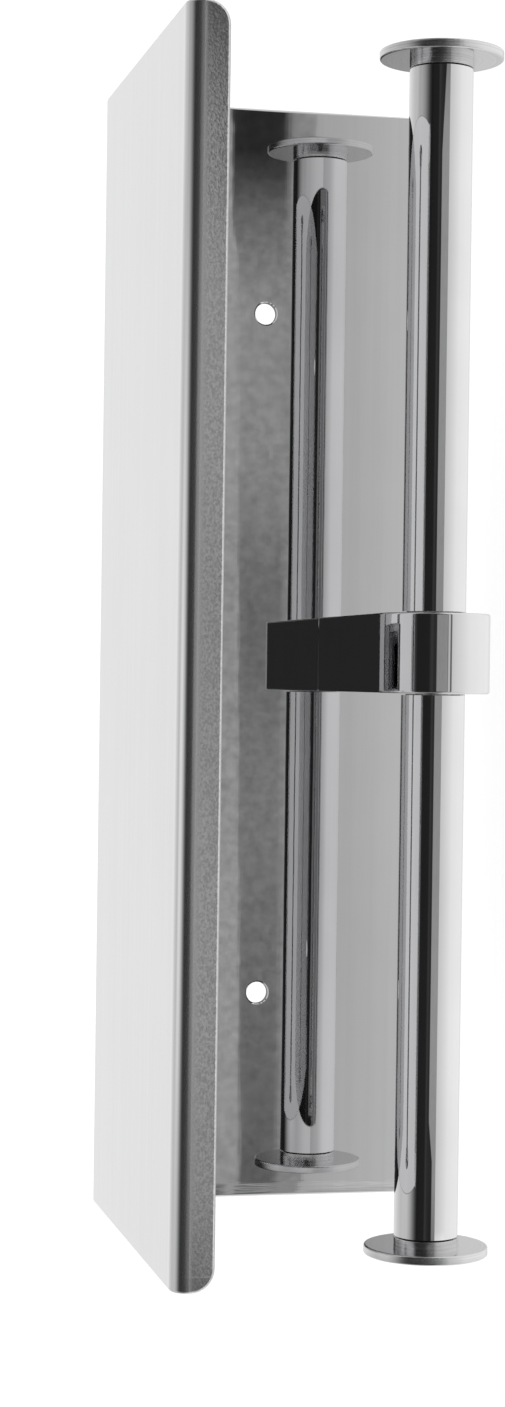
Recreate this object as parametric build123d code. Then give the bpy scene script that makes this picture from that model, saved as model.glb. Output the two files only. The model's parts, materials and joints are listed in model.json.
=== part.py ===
"""Wall-mounted shelf with a two-armed roll holder, in mirror-polished stainless steel.

One bent sheet makes the shelf, the back plate and the front lip.  A bracket stands out
of the back plate's middle and carries a fixed axle.  On each side of the bracket a tube
turns freely on the axle, in two bushes, and an end cap screwed into the axle keeps the
tube and its roll from sliding off.

Frame: +X to the right along the arms, +Y into the wall, +Z up, in millimetres.
Origin: on the wall face, midway between the two wall-screw holes.
"""
import os

from build123d import *

# Sheet
SHEET_WIDTH = 265.0        # along X
SHELF_DEPTH = 104.0        # wall face to the lip's front face
OVERALL_HEIGHT = 92.0      # shelf top to the back plate's lower edge
SHEET_THICKNESS = 1.5
LIP_HEIGHT = 9.0           # shelf top to the lip's lower edge
BEND_RADIUS = 3.5          # outside of both bends
CORNER_RADIUS = 5.0        # lip's and back plate's free corners
EDGE_ROUND = 0.6           # polished-off edges

# Wall-screw holes
HOLE_SPACING = 165.5
HOLE_DIAMETER = 5.2
HOLE_DROP = 40.0           # shelf top to the holes' centres
HOLE_CHAMFER = 0.35        # on the front side

# Arm axis
AXIS_DROP = 67.0           # shelf top to the axis
AXIS_REACH = 58.5          # wall face to the axis

# Bracket
BRACKET_WIDTH = 18.0       # along X
BRACKET_NOSE_RADIUS = 12.7
BRACKET_EDGE_ROUND = 0.5
BRACKET_BASE_CHAMFER = 0.25   # round the face that lies on the back plate
BRACKET_WALL = 2.2
POCKET_CORNER_RADIUS = 1.5
NOSE_SOLID_RADIUS = 11.0   # metal left round the axle, behind its axis

# Bracket screws, M4 countersunk, from behind the back plate
SCREW_OFFSET = 7.0         # above and below the arm axis
SCREW_DIAMETER = 4.0
SCREW_HEAD_DIAMETER = 7.5
SCREW_LENGTH = 13.0
SCREW_BOSS_DIAMETER = 8.0
SCREW_BOSS_LENGTH = 15.0
SCREW_SOCKET = 2.5         # across flats
SCREW_SOCKET_DEPTH = 1.2
HEAD_CLEARANCE = 0.1       # round the countersunk head

# Axle and the grub screw that locks it
AXLE_DIAMETER = 8.0
AXLE_END_CHAMFER = 0.4
GRUB_DIAMETER = 5.0
GRUB_RECESS = 0.8          # below the bracket's underside
GRUB_SOCKET_DEPTH = 3.0
FLAT_DEPTH = 0.6           # flat on the axle, under the grub screw
FLAT_LENGTH = 7.0

# Arms: a tube on two bushes, between the bracket and an end cap
TUBE_DIAMETER = 14.4
TUBE_WALL = 1.0
ARM_GAP = 0.4              # tube end to bracket, and tube end to cap
BUSH_LENGTH = 10.0
BUSH_STAND_OUT = 0.2       # the bush's face takes the end thrust
OVERALL_ARM_WIDTH = 271.0  # over both end discs
DISC_DIAMETER = 28.0
DISC_THICKNESS = 2.0
DISC_EDGE_ROUND = 0.4
COLLAR_LENGTH = 1.8        # between the disc and the tube
STUD_DIAMETER = 5.0
STUD_LENGTH = 12.0
TAP_DEPTH = 14.0

FIT_CLEARANCE = 0.05       # radial, for running fits and screw threads

OVERRUN = 1.0              # how far a cutting tool runs past the face it leaves by
NEAR = 0.1                 # distance under which two places count as the same

# Places worked out from the sizes above
SHELF_TOP = HOLE_DROP
PLATE_BOTTOM = SHELF_TOP - OVERALL_HEIGHT
AXIS_Y = -AXIS_REACH
AXIS_Z = SHELF_TOP - AXIS_DROP
COLLAR_FACE = OVERALL_ARM_WIDTH / 2 - DISC_THICKNESS - COLLAR_LENGTH
SCREW_HEIGHTS = (AXIS_Z - SCREW_OFFSET, AXIS_Z + SCREW_OFFSET)

# Local +Z runs along the arms from the bracket's middle, on the arm axis
RIGHT = Plane(origin=(0, AXIS_Y, AXIS_Z), x_dir=(0, -1, 0), z_dir=(1, 0, 0))
LEFT = Plane(origin=(0, AXIS_Y, AXIS_Z), x_dir=(0, -1, 0), z_dir=(-1, 0, 0))


def rod(place, radius, start, end):
    """Solid cylinder along a plane's normal, from start to end."""
    return place.offset(start) * extrude(Circle(radius), end - start)


def wall_plane(x, z, y=0.0):
    """Plane at the wall side whose normal points out of the wall."""
    return Plane(origin=(x, y, z), x_dir=(1, 0, 0), z_dir=(0, -1, 0))


def make_shelf_sheet():
    """Shelf, back plate and lip, bent from one blank."""
    inner_y = -SHEET_THICKNESS
    lip_y = -SHELF_DEPTH
    outline = Polyline(
        (0, PLATE_BOTTOM),
        (0, SHELF_TOP),
        (lip_y, SHELF_TOP),
        (lip_y, SHELF_TOP - LIP_HEIGHT),
        (lip_y + SHEET_THICKNESS, SHELF_TOP - LIP_HEIGHT),
        (lip_y + SHEET_THICKNESS, SHELF_TOP - SHEET_THICKNESS),
        (inner_y, SHELF_TOP - SHEET_THICKNESS),
        (inner_y, PLATE_BOTTOM),
        close=True,
    )
    section = make_face(outline)
    inside_corners = section.vertices().filter_by(
        lambda v: abs(v.Y - (SHELF_TOP - SHEET_THICKNESS)) < NEAR
    )
    section = fillet(inside_corners, BEND_RADIUS - SHEET_THICKNESS)
    outside_corners = section.vertices().filter_by(lambda v: v.Y > SHELF_TOP - NEAR)
    section = fillet(outside_corners, BEND_RADIUS)
    sheet = extrude(Plane.YZ * section, SHEET_WIDTH / 2, both=True)

    free_corners = sheet.edges().filter_by(Axis.Y).filter_by(
        lambda e: at_free_side(e.center())
    )
    sheet = fillet(free_corners, CORNER_RADIUS)
    sheet = fillet(sheet.edges().filter_by(is_cut_edge), EDGE_ROUND)

    for x in (-HOLE_SPACING / 2, HOLE_SPACING / 2):
        sheet -= rod(wall_plane(x, 0), HOLE_DIAMETER / 2, -OVERRUN, SHEET_THICKNESS + OVERRUN)
    front_rims = sheet.edges().filter_by(GeomType.CIRCLE).filter_by(
        lambda e: abs(e.radius - HOLE_DIAMETER / 2) < NEAR and e.center().Y < inner_y / 2
    )
    sheet = chamfer(front_rims, HOLE_CHAMFER)
    for z in SCREW_HEIGHTS:
        sheet -= screw_cone(z, HEAD_CLEARANCE, SHEET_THICKNESS + OVERRUN)
    return sheet


def at_free_side(point):
    """True at the height of the back plate's lower edge or of the lip's."""
    return min(abs(point.Z - PLATE_BOTTOM), abs(point.Z - (SHELF_TOP - LIP_HEIGHT))) < NEAR


def is_cut_edge(edge):
    """True on the edges that run round the blank, and not on bend lines or through the thickness."""
    start, end = edge.position_at(0), edge.position_at(1)
    if abs(start.X - end.X) > SHEET_WIDTH / 2:
        return at_free_side(start) and at_free_side(end)
    through_sheet = edge.geom_type == GeomType.LINE and edge.length < SHEET_THICKNESS + NEAR
    return not through_sheet


def screw_cone(z, clearance, length):
    """Countersunk head and shank, grown by a clearance, with its head at the wall face."""
    head = SCREW_HEAD_DIAMETER / 2 + clearance
    shank = SCREW_DIAMETER / 2 + clearance
    outline = Polyline((0, 0), (head, 0), (shank, head - shank), (shank, length), (0, length), close=True)
    return wall_plane(0, z) * revolve(Plane.XZ * make_face(outline), Axis.Z)


def make_bracket_screws():
    """The two countersunk screws that hold the bracket to the back plate."""
    screws = []
    for z in SCREW_HEIGHTS:
        socket = extrude(RegularPolygon(SCREW_SOCKET / 2, 6, major_radius=False), SCREW_SOCKET_DEPTH)
        screws.append(screw_cone(z, 0, SCREW_LENGTH) - wall_plane(0, z) * socket)
    return Compound(screws)


def make_bracket_body():
    """Cast bracket: straight flanks and a round nose, cored out from behind."""
    back_y = -SHEET_THICKNESS
    height = 2 * BRACKET_NOSE_RADIUS
    reach = back_y - AXIS_Y
    flank = Pos(AXIS_Y + reach / 2, AXIS_Z) * Rectangle(reach, height)
    nose = Pos(AXIS_Y, AXIS_Z) * Circle(BRACKET_NOSE_RADIUS)
    body = extrude(Plane.YZ * (flank + nose), BRACKET_WIDTH / 2, both=True)
    side_edges = body.edges().filter_by(
        lambda e: abs(abs(e.center().X) - BRACKET_WIDTH / 2) < NEAR and e.center().Y < back_y - NEAR
    )
    body = fillet(side_edges, BRACKET_EDGE_ROUND)
    body = chamfer(body.faces().sort_by(Axis.Y)[-1].outer_wire().edges(), BRACKET_BASE_CHAMFER)

    pocket_depth = reach - NOSE_SOLID_RADIUS
    pocket = RectangleRounded(
        BRACKET_WIDTH - 2 * BRACKET_WALL, height - 2 * BRACKET_WALL, POCKET_CORNER_RADIUS
    )
    body -= wall_plane(0, AXIS_Z, back_y) * extrude(pocket, pocket_depth)
    for z in SCREW_HEIGHTS:
        seat = wall_plane(0, z, back_y)
        body += rod(seat, SCREW_BOSS_DIAMETER / 2, 0, SCREW_BOSS_LENGTH)
    for z in SCREW_HEIGHTS:
        body -= rod(wall_plane(0, z), SCREW_DIAMETER / 2 + FIT_CLEARANCE, 0, SCREW_LENGTH + OVERRUN)
        body -= screw_cone(z, HEAD_CLEARANCE, SHEET_THICKNESS + OVERRUN)
    body -= rod(RIGHT, AXLE_DIAMETER / 2 + FIT_CLEARANCE, -BRACKET_WIDTH, BRACKET_WIDTH)
    body -= rod(grub_plane(), GRUB_DIAMETER / 2 + FIT_CLEARANCE, -OVERRUN, BRACKET_NOSE_RADIUS)
    return body


def grub_plane():
    """Plane under the nose whose normal points up at the axle."""
    return Plane(origin=(0, AXIS_Y, AXIS_Z - BRACKET_NOSE_RADIUS), z_dir=(0, 0, 1))


def make_axle_grub_screw():
    """Socket set screw under the nose, bearing on the axle's flat."""
    tip = BRACKET_NOSE_RADIUS - AXLE_DIAMETER / 2 + FLAT_DEPTH
    screw = rod(grub_plane(), GRUB_DIAMETER / 2, GRUB_RECESS, tip)
    socket = extrude(RegularPolygon(SCREW_SOCKET / 2, 6, major_radius=False), GRUB_SOCKET_DEPTH)
    return screw - grub_plane().offset(GRUB_RECESS) * socket


def make_axle_rod():
    """Axle through the bracket, tapped at both ends, with a flat for the grub screw."""
    axle = rod(RIGHT, AXLE_DIAMETER / 2, -COLLAR_FACE, COLLAR_FACE)
    axle = chamfer(axle.edges(), AXLE_END_CHAMFER)
    tapped_radius = STUD_DIAMETER / 2 + FIT_CLEARANCE
    for side in (RIGHT, LEFT):
        axle -= rod(side, tapped_radius, COLLAR_FACE - TAP_DEPTH, COLLAR_FACE + OVERRUN)
    flat = Box(FLAT_LENGTH, AXLE_DIAMETER, 2 * FLAT_DEPTH)
    return axle - Pos(0, AXIS_Y, AXIS_Z - AXLE_DIAMETER / 2) * flat


def make_arm_tube(side):
    """Tube that the roll hangs on."""
    start = BRACKET_WIDTH / 2 + ARM_GAP
    end = COLLAR_FACE - ARM_GAP
    bore = TUBE_DIAMETER / 2 - TUBE_WALL
    return rod(side, TUBE_DIAMETER / 2, start, end) - rod(side, bore, start - OVERRUN, end + OVERRUN)


def make_bush(side, start):
    """Plain bush, pressed into the tube and running on the axle."""
    end = start + BUSH_LENGTH
    outside = rod(side, TUBE_DIAMETER / 2 - TUBE_WALL, start, end)
    return outside - rod(side, AXLE_DIAMETER / 2 + FIT_CLEARANCE, start - OVERRUN, end + OVERRUN)


def make_end_cap(side):
    """Turned cap: thin disc, collar of the tube's diameter, and a stud for the axle."""
    disc_face = COLLAR_FACE + COLLAR_LENGTH
    disc = rod(side, DISC_DIAMETER / 2, disc_face, disc_face + DISC_THICKNESS)
    disc = fillet(disc.edges().filter_by(GeomType.CIRCLE), DISC_EDGE_ROUND)
    collar = rod(side, TUBE_DIAMETER / 2, COLLAR_FACE, disc_face)
    stud = rod(side, STUD_DIAMETER / 2, COLLAR_FACE - STUD_LENGTH, COLLAR_FACE)
    return disc + collar + stud


def make_parts():
    """Every node's name and shape."""
    bush_inner_start = BRACKET_WIDTH / 2 + ARM_GAP - BUSH_STAND_OUT
    bush_outer_start = COLLAR_FACE - ARM_GAP + BUSH_STAND_OUT - BUSH_LENGTH
    parts = {
        "shelf_sheet": make_shelf_sheet(),
        "bracket_body": make_bracket_body(),
        "bracket_screws": make_bracket_screws(),
        "axle_rod": make_axle_rod(),
        "axle_grub_screw": make_axle_grub_screw(),
    }
    for name, side in (("right", RIGHT), ("left", LEFT)):
        parts[name + "_arm_tube"] = make_arm_tube(side)
        parts[name + "_inner_bush"] = make_bush(side, bush_inner_start)
        parts[name + "_outer_bush"] = make_bush(side, bush_outer_start)
        parts[name + "_end_cap"] = make_end_cap(side)
    return parts


os.makedirs("parts", exist_ok=True)
for node, shape in make_parts().items():
    export_step(shape, "parts/" + node + ".step")
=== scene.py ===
"""Studio picture of a wall-mounted shelf with a two-armed roll holder, in polished steel."""
import json
import math

import bpy
from mathutils import Matrix, Vector


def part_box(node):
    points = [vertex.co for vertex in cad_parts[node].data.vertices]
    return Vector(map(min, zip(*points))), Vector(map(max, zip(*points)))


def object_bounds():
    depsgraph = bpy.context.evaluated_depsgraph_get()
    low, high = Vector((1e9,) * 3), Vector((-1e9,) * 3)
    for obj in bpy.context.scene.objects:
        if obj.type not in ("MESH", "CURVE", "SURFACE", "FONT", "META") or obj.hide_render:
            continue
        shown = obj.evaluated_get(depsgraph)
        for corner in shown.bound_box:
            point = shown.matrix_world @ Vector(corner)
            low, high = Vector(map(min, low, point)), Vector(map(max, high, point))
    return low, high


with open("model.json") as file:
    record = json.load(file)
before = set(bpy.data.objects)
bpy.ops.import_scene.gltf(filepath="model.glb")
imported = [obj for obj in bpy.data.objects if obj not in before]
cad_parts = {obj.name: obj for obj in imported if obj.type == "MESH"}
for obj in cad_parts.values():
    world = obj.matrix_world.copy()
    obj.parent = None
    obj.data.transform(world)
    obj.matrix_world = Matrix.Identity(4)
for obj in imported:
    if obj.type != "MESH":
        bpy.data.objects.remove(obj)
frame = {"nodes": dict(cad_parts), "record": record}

cad_low, cad_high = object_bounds()
nodes = frame["nodes"]
mounts = {mount["name"]: mount for mount in frame["record"]["mounts"]}

# Camera: where it stands, what it looks at, and how it is turned about its own axis
CAMERA_PLACE = Vector((-0.0066, -0.6534, 0.1463))
CAMERA_AIM = Vector((-0.0118, -0.0500, 0.0128))
CAMERA_ROLL = math.radians(89.34)
CAMERA_LENS_MM = 70.1
CAMERA_SENSOR_MM = 36.0

FLOOR_GAP = 0.04           # under the object's lowest edge
FLOOR_HALF_SIZE = 6.0
FLOOR_GREY = 0.95

# The studio that the steel reflects, by the angle in degrees round the arms' direction:
# 0 is straight ahead of the shelf, 90 overhead, 180 the wall side and -90 underneath.
# Each pair is an angle and a brightness.
DARK = 0.036
STUDIO = (
    (-180, 0.70), (-150, 0.85), (-125, 1.20), (-96, 1.25), (-64, 1.20), (-46, 1.06), (-30, 0.94),
    (-22, 0.83), (-17, 0.76), (-15.5, 0.71), (-14.4, 0.62), (-13, 0.46), (-8, 0.42), (7, 0.41),
    (10.5, 0.41), (12, DARK), (15, DARK), (18, 0.055), (21, 0.05), (25, 0.022), (50, 0.020),
    (57, 0.10), (66, 0.33), (76, 0.65), (90, 0.95), (100, 0.95), (118, 0.74), (135, 0.85),
    (150, 0.95), (162, 0.995), (180, 0.99),
)

# A darker skirting runs along the foot of the wall ahead. Its upper edge rises with the direction's X,
# and by a step more before the right-hand corner. Its lowest part is plain.
SKIRTING_FOOT = (-13.67, -13.62)
SKIRTING_HEAD = (-12.2, -12.15)
SKIRTING_SLOPE = 0.81      # degrees for one unit of X
STEP_PLACE = (0.150, 0.168)
STEP_RISE = 0.12           # degrees
PLAIN_TOP = (-13.2, -13.0)
PLAIN_BRIGHTNESS = 0.36

# The studio's parts, by that angle: where each starts, is full, starts to end and has ended
FLOOR_SPAN = (-60, -50, -14, -13.8)
RAIL_SPAN = (-21.9, -21.4, -18.2, -17.7)
AHEAD_SPAN = (*SKIRTING_FOOT, 8, 12)   # the wall ahead with its skirting
WALL_SPAN = (-12.2, -12.0, 8, 12)
OVERHEAD_SPAN = (40, 55, 100, 115)
RAIL_BRIGHTNESS = 0.20     # of a dark rail on the floor ahead

# The wall's top edge, in degrees. It drops near both ends of the room, between these X.
WALL_TOP = (8.5, 10.5)
WALL_TOP_DROP = 12.5       # degrees
WALL_LEFT_END = (-0.158, -0.172)
WALL_RIGHT_END = (0.190, 0.220)
OVER_WALL_END = (12, 14)   # beyond it the brightness is as STUDIO gives it

# The wall is rough cast: grains for one unit of direction, and their least and greatest share
GRIT_SIZE = 300.0
GRIT_SHARE = (0.76, 1.24)

# Along X: pairs of the direction's X and the skirting's brightness
SKIRTING_ACROSS = (
    (-0.240, 0.10), (-0.226, 0.12), (-0.2215, 0.42), (-0.195, 0.40), (-0.188, 0.16), (-0.14, 0.20),
    (-0.09, 0.24), (-0.05, 0.28), (-0.01, 0.25), (0.01, 0.21), (0.035, 0.22), (0.06, 0.30),
    (0.085, 0.37), (0.135, 0.38), (0.157, 0.26), (0.170, 0.18), (0.180, 0.08), (0.190, 0.033),
)
# Along X: pairs of the direction's X and a share of the brightness that the angle gives
FLOOR_ACROSS = (
    (-0.233, 0.82), (-0.222, 0.95), (-0.211, 1.0), (-0.204, 1.22), (-0.200, 1.22), (-0.196, 1.0),
)
WALL_ACROSS = (
    (-0.215, 0.42), (-0.200, 0.66), (-0.180, 0.95), (-0.100, 1.03), (-0.03, 0.94), (0.03, 0.90),
    (0.08, 1.0), (0.200, 1.0), (0.213, 0.85), (0.225, 0.62), (0.240, 0.38), (0.250, 0.32),
)
OVERHEAD_ACROSS = (
    (-0.210, 0.78), (-0.170, 0.87), (-0.140, 1.05), (-0.100, 1.13), (0.0, 1.15), (0.050, 1.05),
    (0.100, 0.95), (0.150, 0.79), (0.200, 0.60), (0.240, 0.58),
)

# Far out to either side: from which X on, and pairs of a direction's Z and a brightness
SIDE_START = (0.6, 0.95)
SIDE = (
    (-1, 0.90), (-0.35, 1.05), (-0.15, 1.0), (-0.05, 0.55), (0.10, 0.30), (0.35, 0.35), (0.60, 0.90),
    (1, 1.05),
)
BACKGROUND = 1.14          # what the camera and dull surfaces see instead of the studio

# Places on the sheet, in metres
SHEET_THICKNESS = 0.0015
BEND_RADIUS = 0.0035       # outside of the sheet's bends
FADE = 0.0005              # over which one finish passes into the next
FACE_DEPTH = (0.0003, 0.0001)          # from an outer face: starts to count as on it, counts fully
HOLE_MARGIN = (0.00004, 0.00008)       # beyond a hole's radius
SATIN_FROM_SHELF = (-0.0004, 0.0010)   # past the end of the shelf's flat part
SATIN_FROM_WALL = (-0.0008, 0.0004)    # above the top of the upright faces
PEEL_START = 0.0015                    # below the top of the lip's flat face
BUFFED_WIDTH = 0.0036

# Marks' depths, and the length of the tubes' and bracket's waves, in metres
HAIRLINE_DEPTH = 0.0000002
SHEET_WAVE_DEPTH = 0.0000016
BUFFED_WAVE_LENGTH = 0.009
BRACKET_WAVE_DEPTH = 0.0000004
TUBE_WAVE_DEPTH = 0.0000024
PEEL_DEPTH = 0.000006
BUFFED_DEPTH = 0.00006
STREAK_DEPTH = 0.000012
RING_DEPTH = 0.00002       # round the rim and collar
FACE_RING_SHARE = 0.12     # of that depth, on the disc's faces
DRAW_LINE_DEPTH = 0.000006
NYLON_MARK_DEPTH = 0.00001

# Scale of the hairlines' noise along each axis: a small number draws the lines out that way
GRAIN_ALONG_X = (0.04, 1, 1)
GRAIN_ALONG_Y = (1, 0.04, 1)

# Greys and colours: a pair runs from dark to light
MIRROR_GREY = (0.603, 0.638)
PEEL_GREY = (0.51, 0.70)
BUFFED_GREY = (0.61, 0.65)
TURNED_GREY = (0.50, 0.68)
BAR_GREY = (0.45, 0.58)
BLACK_SCREW_GREY = (0.03, 0.07)
CUT_EDGE_COLOUR = (0.42, 0.42, 0.42)
# Screw holes' walls: partly their dull punched finish, and darkened further as painted shade inside the
# holes
HOLE_SHADE_COLOUR = (0.20, 0.20, 0.20)
NYLON_COLOURS = ((0.70, 0.68, 0.61), (0.80, 0.79, 0.73))

# Roughness: a pair runs from least to most, but for the bends
SHEET_SMUDGE_ROUGH = (0.009, 0.022)
SHEET_HAIRLINE_ROUGH = 0.012
OUTSIDE_MORE_ROUGH = 0.055
BEND_ROUGH = (0.32, 0.10)              # from the bottom of a bend to its top
CUT_EDGE_ROUGH = 0.3
PUNCHED_ROUGH = 0.5
BUFFED_SMUDGE_ROUGH = (0.01, 0.03)
BUFFED_HAIRLINE_ROUGH = 0.02
DISC_FACE_ROUGH = (0.06, 0.14)
DISC_SIDE_ROUGH = (0.10, 0.24)
DISC_SMUDGE_ROUGH = 0.08
BAR_ROUGH = (0.15, 0.35)
BLACK_SCREW_ROUGH = (0.3, 0.5)
NYLON_ROUGH = (0.35, 0.55)
FLOOR_ROUGH = 0.9


# ---------------------------------------------------------------- node helpers

def new_material(name):
    """Node material and its tree and Principled shader."""
    material = bpy.data.materials.new(name)
    material.use_nodes = True
    tree = material.node_tree
    return material, tree, tree.nodes["Principled BSDF"]


def new_steel(name):
    """Metal material, its tree and shader, and the point of the surface."""
    material, tree, shader = new_material(name)
    shader.inputs["Metallic"].default_value = 1.0
    return material, tree, shader, surface_point(tree)


def new_node(tree, kind, inputs):
    """Node whose inputs are set to numbers or linked to other nodes' outputs."""
    node = tree.nodes.new(kind)
    for name, value in inputs.items():
        if isinstance(value, bpy.types.NodeSocket):
            tree.links.new(value, node.inputs[name])
        else:
            node.inputs[name].default_value = value
    return node


def maths(tree, operation, *values):
    node = tree.nodes.new("ShaderNodeMath")
    node.operation = operation
    for socket, value in zip(node.inputs, values):
        if isinstance(value, bpy.types.NodeSocket):
            tree.links.new(value, socket)
        else:
            socket.default_value = value
    return node.outputs[0]


def distance_from_zero(tree, first, second):
    """Length of the vector that has these two parts."""
    squares = maths(tree, "ADD", maths(tree, "POWER", first, 2.0), maths(tree, "POWER", second, 2.0))
    return maths(tree, "SQRT", squares)


def ramp(tree, value, low, high, at_low=0.0, at_high=1.0):
    """Straight ramp between two values of the input, level beyond them."""
    limits = {"From Min": low, "From Max": high, "To Min": at_low, "To Max": at_high}
    return new_node(tree, "ShaderNodeMapRange", {"Value": value, **limits}).outputs[0]


def ramp_down(tree, value, low, high):
    return ramp(tree, value, low, high, 1.0, 0.0)


def within(tree, value, start, full, last_full, end):
    """1 from full to last_full, 0 before start and after end."""
    rise = ramp(tree, value, start, full)
    fall = ramp_down(tree, value, last_full, end)
    return maths(tree, "MULTIPLY", rise, fall)


def surface_point(tree):
    return tree.nodes.new("ShaderNodeTexCoord").outputs["Object"]


def surface_normal(tree):
    return tree.nodes.new("ShaderNodeNewGeometry").outputs["Normal"]


def parts_of(tree, vector):
    """X, Y and Z of a vector."""
    node = new_node(tree, "ShaderNodeSeparateXYZ", {"Vector": vector})
    return node.outputs["X"], node.outputs["Y"], node.outputs["Z"]


def stretched(tree, vector, scale):
    return new_node(tree, "ShaderNodeMapping", {"Vector": vector, "Scale": scale}).outputs[0]


def noise(tree, vector, scale, detail=2.0, roughness=0.5):
    """Noise round 0.5, with about as many lumps a metre as scale says."""
    inputs = {"Vector": vector, "Scale": scale, "Detail": detail, "Roughness": roughness}
    return new_node(tree, "ShaderNodeTexNoise", inputs).outputs["Fac"]


def spread(tree, noise_value, least=0.0, most=1.0):
    """Noise, which seldom leaves 0.3 to 0.7, over the whole of a range."""
    return ramp(tree, noise_value, 0.3, 0.7, least, most)


def bump(tree, height, depth, below=None):
    """Surface whose height runs from 0 to depth metres as the value runs from 0 to 1."""
    inputs = {"Height": height, "Strength": 1.0, "Distance": depth}
    if below is not None:
        inputs["Normal"] = below
    return new_node(tree, "ShaderNodeBump", inputs).outputs[0]


def blend_colour(tree, value, first, second):
    node = tree.nodes.new("ShaderNodeMix")
    node.data_type = "RGBA"
    for socket, colour in ((node.inputs["A"], first), (node.inputs["B"], second)):
        if isinstance(colour, bpy.types.NodeSocket):
            tree.links.new(colour, socket)
        else:
            socket.default_value = (*colour, 1)
    tree.links.new(value, node.inputs["Factor"])
    return node.outputs["Result"]


def blend_value(tree, value, first, second):
    node = new_node(tree, "ShaderNodeMix", {"Factor": value, "A": first, "B": second})
    return node.outputs["Result"]


# ---------------------------------------------------------------- materials

def steel_colour(tree, value, dark, light):
    """Very slightly blue grey."""
    return blend_colour(tree, value, (dark, dark, dark * 1.01), (light, light, light * 1.01))


def buffed_roughness(tree, smudge, hairline, smudge_rough, hairline_rough):
    """Smudges and the strongest hairlines are duller than the rest."""
    from_smudge = ramp(tree, smudge, 0.35, 0.75, *smudge_rough)
    from_hairline = ramp(tree, hairline, 0.55, 0.8, 0.0, hairline_rough)
    return maths(tree, "ADD", from_smudge, from_hairline)


def hole_wall(tree, x, z):
    """1 on the punched walls of the two wall-screw holes, 0 elsewhere."""
    mount = mounts["wall_screws"]
    half_spacing = mount["dims"]["spacing_x_mm"] / 2000
    radius = mount["dims"]["hole_r_mm"] / 1000
    across = maths(tree, "SUBTRACT", maths(tree, "ABSOLUTE", x), half_spacing)
    upward = maths(tree, "SUBTRACT", z, mount["pos_m"][2])
    distance = distance_from_zero(tree, across, upward)
    near, far = HOLE_MARGIN
    return ramp_down(tree, distance, radius + near, radius + far)


def cut_edge(tree, y, z, low, high):
    """1 on the sheared edges under the lip and under the back plate, 0 elsewhere."""
    downward = ramp(tree, parts_of(tree, surface_normal(tree))[2], -0.25, -0.6)
    reach = SHEET_THICKNESS + FADE
    wall_foot = ramp(tree, z, low.z + reach, low.z + SHEET_THICKNESS)
    lip_side = ramp(tree, y, low.y + reach, low.y + SHEET_THICKNESS)
    lip_top = high.z - BEND_RADIUS
    lip_foot = maths(tree, "MULTIPLY", lip_side, ramp(tree, z, lip_top, lip_top - FADE))
    return maths(tree, "MULTIPLY", downward, maths(tree, "MAXIMUM", wall_foot, lip_foot))


def buffed_end(tree, point, x, low, below):
    """The left end, where buffing has rolled the face off a little and left streaks along the edge."""
    share = ramp(tree, x, low.x + BUFFED_WIDTH, low.x)
    slope = maths(tree, "MULTIPLY", share, 0.5)
    curve = maths(tree, "MULTIPLY", maths(tree, "POWER", share, 2.0), 0.5)
    height = maths(tree, "SUBTRACT", 1.0, maths(tree, "ADD", slope, curve))
    rolled = bump(tree, height, BUFFED_DEPTH, below)
    streaks = noise(tree, stretched(tree, point, (1, 1, 0.02)), 1500.0, 2.0, 0.6)
    streaks = maths(tree, "MULTIPLY", streaks, ramp(tree, share, 0.0, 0.1))
    return bump(tree, streaks, STREAK_DEPTH, rolled)


def bend_finish(tree, y, z, low, high):
    """1 on the two bends, 0 elsewhere, and the bends' roughness."""
    middle = (low.y + high.y) / 2
    flat_end = (high.y - low.y) / 2 - BEND_RADIUS
    upright_top = high.z - BEND_RADIUS
    from_middle = maths(tree, "ABSOLUTE", maths(tree, "SUBTRACT", y, middle))
    start, full = SATIN_FROM_SHELF
    past_flat = ramp(tree, from_middle, flat_end + start, flat_end + full)
    start, full = SATIN_FROM_WALL
    above_upright = ramp(tree, z, upright_top + start, upright_top + full)
    satin = ramp(tree, z, upright_top, high.z - 2 * FADE, *BEND_ROUGH)
    return maths(tree, "MULTIPLY", past_flat, above_upright), satin


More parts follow.
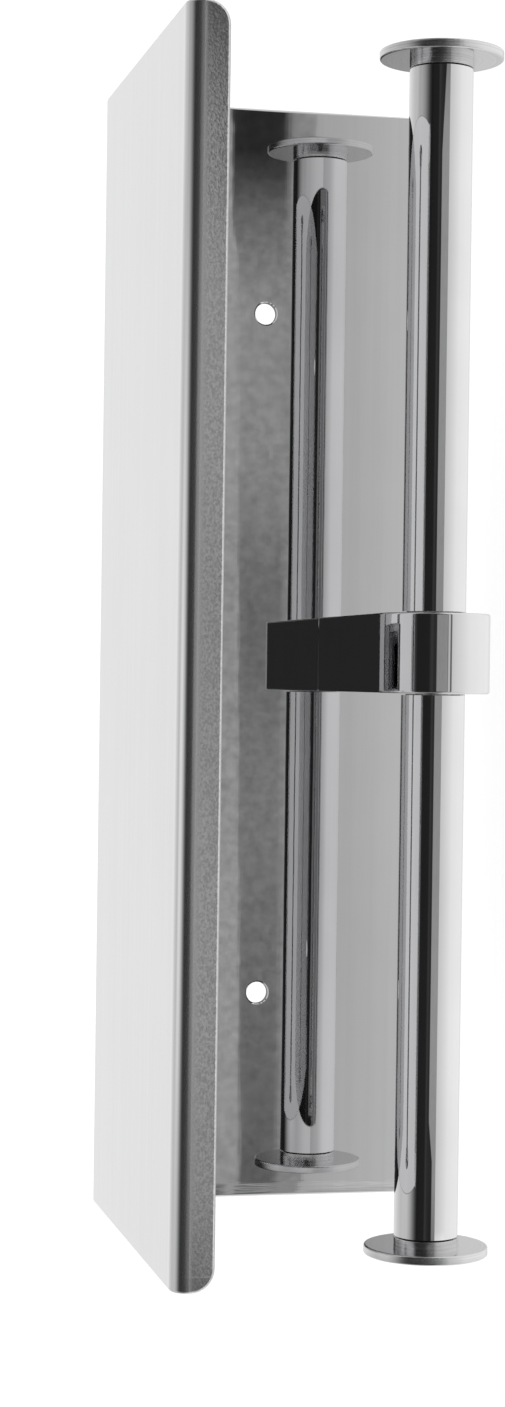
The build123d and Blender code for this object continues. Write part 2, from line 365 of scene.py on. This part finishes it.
def make_sheet_steel():
    """Mirror; duller on the shelf's top and the lip, satin on the bends, orange peel on the lip."""
    material, tree, shader, point = new_steel("polished_sheet_steel")
    x, y, z = parts_of(tree, point)
    low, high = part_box("shelf_sheet")
    far, near = FACE_DEPTH
    lip = ramp(tree, y, low.y + far, low.y + near)
    top = ramp(tree, z, high.z - far, high.z - near)
    bend, satin = bend_finish(tree, y, z, low, high)
    outside = maths(tree, "MAXIMUM", maths(tree, "MAXIMUM", lip, top), bend)
    edge = cut_edge(tree, y, z, low, high)
    hole = hole_wall(tree, x, z)

    smudge = noise(tree, point, 22.0, 4.0, 0.6)
    buffing = noise(tree, stretched(tree, point, (0.015, 1, 1)), 420.0, 3.0, 0.6)
    hairline = noise(tree, stretched(tree, point, (0.03, 1, 1)), 1400.0, 3.0, 0.6)
    peel = noise(tree, stretched(tree, point, (0.8, 1, 1)), 2100.0, 2.0, 0.5)

    cloud = ramp(tree, maths(tree, "ADD", smudge, buffing), 0.75, 1.25)
    colour = steel_colour(tree, cloud, *MIRROR_GREY)
    peeled = steel_colour(tree, ramp(tree, peel, 0.35, 0.65), *PEEL_GREY)
    lip_top = high.z - BEND_RADIUS
    lip_face = maths(tree, "MULTIPLY", lip, ramp(tree, z, lip_top, lip_top - PEEL_START))
    colour = blend_colour(tree, lip_face, colour, peeled)
    colour = blend_colour(tree, edge, colour, CUT_EDGE_COLOUR)
    # Painted shade: the screw holes' walls are darkened as if their insides were in shadow
    colour = blend_colour(tree, hole, colour, HOLE_SHADE_COLOUR)
    tree.links.new(colour, shader.inputs["Base Color"])

    mirror = buffed_roughness(tree, smudge, hairline, SHEET_SMUDGE_ROUGH, SHEET_HAIRLINE_ROUGH)
    rough = blend_value(tree, outside, mirror, maths(tree, "ADD", mirror, OUTSIDE_MORE_ROUGH))
    rough = blend_value(tree, bend, rough, satin)
    rough = blend_value(tree, edge, rough, CUT_EDGE_ROUGH)
    rough = blend_value(tree, hole, rough, PUNCHED_ROUGH)
    tree.links.new(rough, shader.inputs["Roughness"])

    waves = bump(tree, noise(tree, point, 160.0, 1.0, 0.4), SHEET_WAVE_DEPTH)
    dimples = bump(tree, maths(tree, "MULTIPLY", peel, lip), PEEL_DEPTH, waves)
    rolled = buffed_end(tree, point, x, low, dimples)
    tree.links.new(bump(tree, hairline, HAIRLINE_DEPTH, rolled), shader.inputs["Normal"])
    return material


def make_buffed_steel(name, grain, wave_depth):
    """Buffed steel: long soft waves, hairlines along the buffing and light smudges."""
    material, tree, shader, point = new_steel(name)
    smudge = noise(tree, point, 30.0, 4.0, 0.6)
    hairline = noise(tree, stretched(tree, point, grain), 1800.0, 3.0, 0.6)
    tree.links.new(steel_colour(tree, spread(tree, smudge), *BUFFED_GREY), shader.inputs["Base Color"])
    rough = buffed_roughness(tree, smudge, hairline, BUFFED_SMUDGE_ROUGH, BUFFED_HAIRLINE_ROUGH)
    tree.links.new(rough, shader.inputs["Roughness"])
    waves = bump(tree, noise(tree, point, 1 / BUFFED_WAVE_LENGTH, 1.0, 0.4), wave_depth)
    tree.links.new(bump(tree, hairline, HAIRLINE_DEPTH, waves), shader.inputs["Normal"])
    return material


def make_turned_steel():
    """Lathe-turned caps: rings on the disc's faces, bright tool lines round the rim and collar."""
    material, tree, shader, point = new_steel("turned_cap_steel")
    x, y, z = parts_of(tree, point)
    low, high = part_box("right_end_cap")
    across = maths(tree, "SUBTRACT", y, (low.y + high.y) / 2)
    upward = maths(tree, "SUBTRACT", z, (low.z + high.z) / 2)
    radius = distance_from_zero(tree, across, upward)
    ring_point = new_node(tree, "ShaderNodeCombineXYZ", {"X": radius, "Y": x}).outputs[0]
    normal_x = parts_of(tree, surface_normal(tree))[0]
    face = ramp(tree, maths(tree, "ABSOLUTE", normal_x), 0.6, 0.9)

    rings = noise(tree, ring_point, 2600.0, 3.0, 0.7)
    smudge = noise(tree, stretched(tree, point, (4, 1, 1)), 140.0, 3.0, 0.6)
    tree.links.new(steel_colour(tree, spread(tree, rings), *TURNED_GREY), shader.inputs["Base Color"])
    face_rough = spread(tree, rings, *DISC_FACE_ROUGH)
    smudge_rough = spread(tree, smudge, 0.0, DISC_SMUDGE_ROUGH)
    side_rough = maths(tree, "ADD", spread(tree, rings, *DISC_SIDE_ROUGH), smudge_rough)
    tree.links.new(blend_value(tree, face, side_rough, face_rough), shader.inputs["Roughness"])
    relief = maths(tree, "MULTIPLY", rings, blend_value(tree, face, 1.0, FACE_RING_SHARE))
    tree.links.new(bump(tree, relief, RING_DEPTH), shader.inputs["Normal"])
    return material


def make_bar_steel(name, grey, rough):
    """Drawn bar stock with draw lines along X."""
    material, tree, shader, point = new_steel(name)
    lines = noise(tree, stretched(tree, point, (0.03, 1, 1)), 2200.0, 3.0, 0.6)
    cloud = noise(tree, point, 180.0, 3.0, 0.6)
    tree.links.new(steel_colour(tree, spread(tree, cloud), *grey), shader.inputs["Base Color"])
    tree.links.new(spread(tree, lines, *rough), shader.inputs["Roughness"])
    tree.links.new(bump(tree, lines, DRAW_LINE_DEPTH), shader.inputs["Normal"])
    return material


def make_nylon():
    """Natural nylon with machining marks."""
    material, tree, shader = new_material("natural_nylon")
    point = surface_point(tree)
    marks = noise(tree, stretched(tree, point, (1, 0.05, 0.05)), 3000.0, 3.0, 0.6)
    cloud = noise(tree, point, 250.0, 3.0, 0.6)
    colour = blend_colour(tree, spread(tree, cloud), *NYLON_COLOURS)
    tree.links.new(colour, shader.inputs["Base Color"])
    tree.links.new(spread(tree, marks, *NYLON_ROUGH), shader.inputs["Roughness"])
    tree.links.new(bump(tree, marks, NYLON_MARK_DEPTH), shader.inputs["Normal"])
    return material


def assign(material, *names):
    """Gives CAD nodes a material."""
    for name in names:
        slots = nodes[name].data.materials
        slots.clear()
        slots.append(material)


assign(make_sheet_steel(), "shelf_sheet")
assign(make_buffed_steel("polished_bracket_steel", GRAIN_ALONG_Y, BRACKET_WAVE_DEPTH), "bracket_body")
tube_steel = make_buffed_steel("polished_tube_steel", GRAIN_ALONG_X, TUBE_WAVE_DEPTH)
assign(tube_steel, "right_arm_tube", "left_arm_tube")
assign(make_turned_steel(), "right_end_cap", "left_end_cap")
assign(make_bar_steel("drawn_bar_steel", BAR_GREY, BAR_ROUGH), "axle_rod", "bracket_screws")
assign(make_bar_steel("black_screw_steel", BLACK_SCREW_GREY, BLACK_SCREW_ROUGH), "axle_grub_screw")
assign(make_nylon(), "right_inner_bush", "right_outer_bush", "left_inner_bush", "left_outer_bush")


# ---------------------------------------------------------------- studio

def make_floor():
    """Plain pale floor under the object."""
    height = cad_low.z - FLOOR_GAP
    size = FLOOR_HALF_SIZE
    mesh = bpy.data.meshes.new("floor")
    square = ((-size, -size), (size, -size), (size, size), (-size, size))
    corners = [(x, y, height) for x, y in square]
    mesh.from_pydata(corners, [], [(0, 1, 2, 3)])
    floor = bpy.data.objects.new("floor", mesh)
    bpy.context.scene.collection.objects.link(floor)
    material, _, shader = new_material("pale_floor")
    shader.inputs["Base Color"].default_value = (FLOOR_GREY, FLOOR_GREY, FLOOR_GREY, 1)
    shader.inputs["Roughness"].default_value = FLOOR_ROUGH
    shader.inputs["Specular IOR Level"].default_value = 0.0
    mesh.materials.append(material)
    floor.visible_glossy = False


def table(tree, value, pairs):
    """Brightness between pairs of a place and a brightness, in rising order of place."""
    first, last = pairs[0][0], pairs[-1][0]
    brightest = max(brightness for _, brightness in pairs)
    node = tree.nodes.new("ShaderNodeValToRGB")
    tree.links.new(ramp(tree, value, first, last), node.inputs["Fac"])
    stops = node.color_ramp.elements
    stops.remove(stops[1])
    for index, (place, brightness) in enumerate(pairs):
        position = (place - first) / (last - first)
        stop = stops.new(position) if index else stops[0]
        stop.position = position
        share = brightness / brightest
        stop.color = (share, share, share, 1)
    return maths(tree, "MULTIPLY", node.outputs["Color"], brightest)


def with_skirting(tree, level, angle, x):
    """Adds the skirting along the foot of the wall ahead."""
    above_foot = ramp(tree, angle, *SKIRTING_FOOT)
    step = maths(tree, "MULTIPLY", ramp(tree, x, *STEP_PLACE), STEP_RISE)
    rise = maths(tree, "ADD", maths(tree, "MULTIPLY", x, SKIRTING_SLOPE), step)
    under_head = ramp_down(tree, maths(tree, "SUBTRACT", angle, rise), *SKIRTING_HEAD)
    above_plain = ramp(tree, angle, *PLAIN_TOP)
    skirting = blend_value(tree, above_plain, PLAIN_BRIGHTNESS, table(tree, x, SKIRTING_ACROSS))
    return blend_value(tree, maths(tree, "MULTIPLY", above_foot, under_head), level, skirting)


def with_wall_ends(tree, level, angle, x):
    """Darkens what is over the wall's top edge, which is lower at both ends of the room."""
    left_end = ramp(tree, x, *WALL_LEFT_END)
    right_end = ramp(tree, x, *WALL_RIGHT_END)
    drop = maths(tree, "MULTIPLY", maths(tree, "MAXIMUM", left_end, right_end), WALL_TOP_DROP)
    over_top = ramp(tree, maths(tree, "ADD", angle, drop), *WALL_TOP)
    over_wall = maths(tree, "MULTIPLY", over_top, ramp_down(tree, angle, *OVER_WALL_END))
    return blend_value(tree, over_wall, level, DARK)


def scaled_within(tree, level, angle, span, share):
    """Brightness times a share, inside a span of angles only."""
    return maths(tree, "MULTIPLY", level, blend_value(tree, within(tree, angle, *span), 1.0, share))


def studio_brightness(tree, direction):
    """What the steel sees: a pale floor, a grey wall ahead, a dark band above it, pale panels round."""
    x, y, z = parts_of(tree, direction)
    angle = maths(tree, "DEGREES", maths(tree, "ARCTAN2", z, maths(tree, "MULTIPLY", y, -1.0)))
    level = table(tree, angle, STUDIO)
    level = with_skirting(tree, level, angle, x)
    level = with_wall_ends(tree, level, angle, x)
    level = blend_value(tree, within(tree, angle, *RAIL_SPAN), level, RAIL_BRIGHTNESS)

    grit = spread(tree, noise(tree, direction, GRIT_SIZE, 4.0, 0.7), *GRIT_SHARE)
    level = scaled_within(tree, level, angle, AHEAD_SPAN, grit)
    level = scaled_within(tree, level, angle, WALL_SPAN, table(tree, x, WALL_ACROSS))
    level = scaled_within(tree, level, angle, FLOOR_SPAN, table(tree, x, FLOOR_ACROSS))
    level = scaled_within(tree, level, angle, OVERHEAD_SPAN, table(tree, x, OVERHEAD_ACROSS))
    sideways = ramp(tree, maths(tree, "ABSOLUTE", x), *SIDE_START)
    return blend_value(tree, sideways, level, table(tree, z, SIDE))


def make_studio():
    """The studio for reflections, and plain white light and background for the rest."""
    world = bpy.data.worlds.new("studio")
    bpy.context.scene.world = world
    world.use_nodes = True
    tree = world.node_tree
    direction = tree.nodes.new("ShaderNodeTexCoord").outputs["Generated"]
    brightness = studio_brightness(tree, direction)
    glossy = tree.nodes.new("ShaderNodeLightPath").outputs["Is Glossy Ray"]
    strength = blend_value(tree, glossy, BACKGROUND, brightness)
    tree.links.new(strength, tree.nodes["Background"].inputs["Strength"])
    tree.nodes["Background"].inputs["Color"].default_value = (1, 1, 1, 1)


def make_camera():
    """Looks down at the shelf from the front, turned so that the arms stand upright."""
    ahead = (CAMERA_AIM - CAMERA_PLACE).normalized()
    level_right = ahead.cross(Vector((0, 0, 1))).normalized()
    level_up = level_right.cross(ahead)
    up = level_up * math.cos(CAMERA_ROLL) + level_right * math.sin(CAMERA_ROLL)
    right = ahead.cross(up)
    turn = Matrix((right, up, -ahead)).transposed()
    data = bpy.data.cameras.new("camera")
    data.lens = CAMERA_LENS_MM
    data.sensor_width = CAMERA_SENSOR_MM
    data.clip_start = 0.01
    data.clip_end = 50.0
    camera = bpy.data.objects.new("camera", data)
    camera.matrix_world = Matrix.Translation(CAMERA_PLACE) @ turn.to_4x4()
    bpy.context.scene.collection.objects.link(camera)
    bpy.context.scene.camera = camera


make_floor()
make_studio()
make_camera()
bpy.context.scene.view_settings.view_transform = "Standard"
bpy.context.scene.cycles.glossy_bounces = 12
